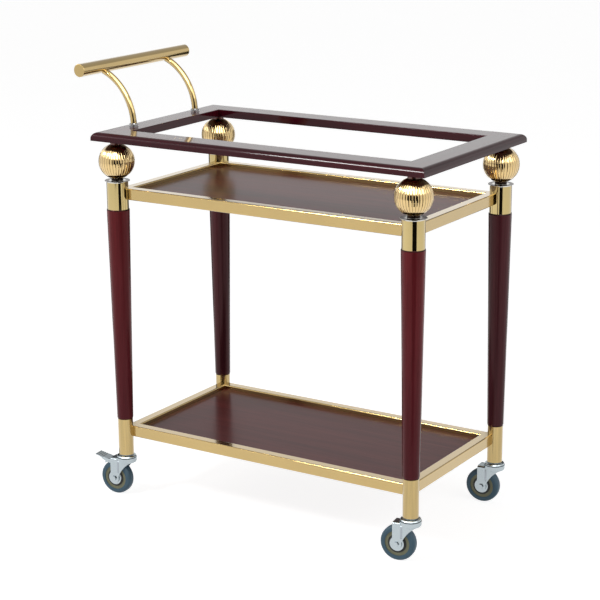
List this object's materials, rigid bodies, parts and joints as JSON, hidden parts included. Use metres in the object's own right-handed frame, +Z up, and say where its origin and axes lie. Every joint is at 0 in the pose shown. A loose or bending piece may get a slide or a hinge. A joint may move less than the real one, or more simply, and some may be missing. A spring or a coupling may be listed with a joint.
{
  "type": "wine trolley",
  "caption": "Two-tier wine trolley with wooden guard frame, tapered wooden legs, fluted gold balls, gold tube shelves, a push handle and swivel casters with brakes.",
  "frame": {"origin": "on the floor, under the middle of the rectangle of the four leg centres", "axes": "+X along the length away from the handle, +Y across the width towards the back, +Z up"},
  "size_m": [0.843, 0.443, 0.9289],
  "materials": {
    "guard_wood": "gloss lacquer",
    "bare_wood": "bare",
    "ball_gold": "polished gold plate",
    "dark_bronze": "dark plated",
    "bright_trim": "polished",
    "gold": "satin gold plate",
    "leg_wood": "satin lacquer",
    "board_wood": "satin lacquer",
    "zinc_steel": "zinc plated",
    "caster_steel": "bright",
    "tyre": "matte",
    "hub": "satin"
  },
  "bodies": {
    "trolley": {"top_rail_front": "guard_wood", "top_rail_back": "guard_wood", "top_rail_left": "guard_wood", "top_rail_right": "guard_wood", "rail_biscuits": "bare_wood", "ball_fl": "ball_gold", "ball_fr": "ball_gold", "ball_bl": "ball_gold", "ball_br": "ball_gold", "ball_washers": "dark_bronze", "sleeve_cap_fl": "bright_trim", "sleeve_cap_fr": "bright_trim", "sleeve_cap_bl": "bright_trim", "sleeve_cap_br": "bright_trim", "upper_sleeve_fl": "gold", "upper_sleeve_fr": "gold", "upper_sleeve_bl": "gold", "upper_sleeve_br": "gold", "leg_fl": "leg_wood", "leg_fr": "leg_wood", "leg_bl": "leg_wood", "leg_br": "leg_wood", "lower_sleeve_fl": "gold", "lower_sleeve_fr": "gold", "lower_sleeve_bl": "gold", "lower_sleeve_br": "gold", "upper_shelf_frame": "gold", "lower_shelf_frame": "gold", "upper_board": "board_wood", "lower_board": "board_wood", "board_screws": "zinc_steel", "tie_rods": "zinc_steel", "caster_sockets": "zinc_steel", "handle_bar": "gold", "handle_bar_caps": "gold", "handle_post_front": "gold", "handle_post_back": "gold", "handle_collars": "bright_trim", "handle_screws": "zinc_steel", "caster_stems": "caster_steel"},
    "caster_fl": {"fork_fl": "caster_steel", "axle_fl": "caster_steel"},
    "wheel_fl": {"tyre_fl": "tyre", "hub_fl": "hub"},
    "pedal_fl": {"brake_pedal_fl": "caster_steel"},
    "caster_fr": {"fork_fr": "caster_steel", "axle_fr": "caster_steel"},
    "wheel_fr": {"tyre_fr": "tyre", "hub_fr": "hub"},
    "caster_bl": {"fork_bl": "caster_steel", "axle_bl": "caster_steel"},
    "wheel_bl": {"tyre_bl": "tyre", "hub_bl": "hub"},
    "pedal_bl": {"brake_pedal_bl": "caster_steel"},
    "caster_br": {"fork_br": "caster_steel", "axle_br": "caster_steel"},
    "wheel_br": {"tyre_br": "tyre", "hub_br": "hub"}
  },
  "joints": [
    {"name": "swivel_fl", "type": "hinge", "parent": "trolley", "child": "caster_fl", "pos_m": [-0.35, -0.184, 0.082], "axis": [0, 0, 1], "continuous": true},
    {"name": "spin_fl", "type": "hinge", "parent": "caster_fl", "child": "wheel_fl", "pos_m": [-0.37441, -0.18614, 0.0365], "axis": [-0.0872, 0.9962, 0], "continuous": true},
    {"name": "brake_fl", "type": "hinge", "parent": "caster_fl", "child": "pedal_fl", "pos_m": [-0.38736, -0.18727, 0.0745], "axis": [0.0872, -0.9962, 0], "range_deg": [0, 8]},
    {"name": "swivel_fr", "type": "hinge", "parent": "trolley", "child": "caster_fr", "pos_m": [0.35, -0.184, 0.082], "axis": [0, 0, 1], "continuous": true},
    {"name": "spin_fr", "type": "hinge", "parent": "caster_fr", "child": "wheel_fr", "pos_m": [0.32574, -0.18741, 0.0365], "axis": [-0.1392, 0.9903, 0], "continuous": true},
    {"name": "swivel_bl", "type": "hinge", "parent": "trolley", "child": "caster_bl", "pos_m": [-0.35, 0.184, 0.082], "axis": [0, 0, 1], "continuous": true},
    {"name": "spin_bl", "type": "hinge", "parent": "caster_bl", "child": "wheel_bl", "pos_m": [-0.37449, 0.18315, 0.0365], "axis": [-0.0349, 0.9994, 0], "continuous": true},
    {"name": "brake_bl", "type": "hinge", "parent": "caster_bl", "child": "pedal_bl", "pos_m": [-0.38748, 0.18269, 0.0745], "axis": [0.0349, -0.9994, 0], "range_deg": [0, 8]},
    {"name": "swivel_br", "type": "hinge", "parent": "trolley", "child": "caster_br", "pos_m": [0.35, 0.184, 0.082], "axis": [0, 0, 1], "continuous": true},
    {"name": "spin_br", "type": "hinge", "parent": "caster_br", "child": "wheel_br", "pos_m": [0.32559, 0.18186, 0.0365], "axis": [-0.0872, 0.9962, 0], "continuous": true}
  ]
}
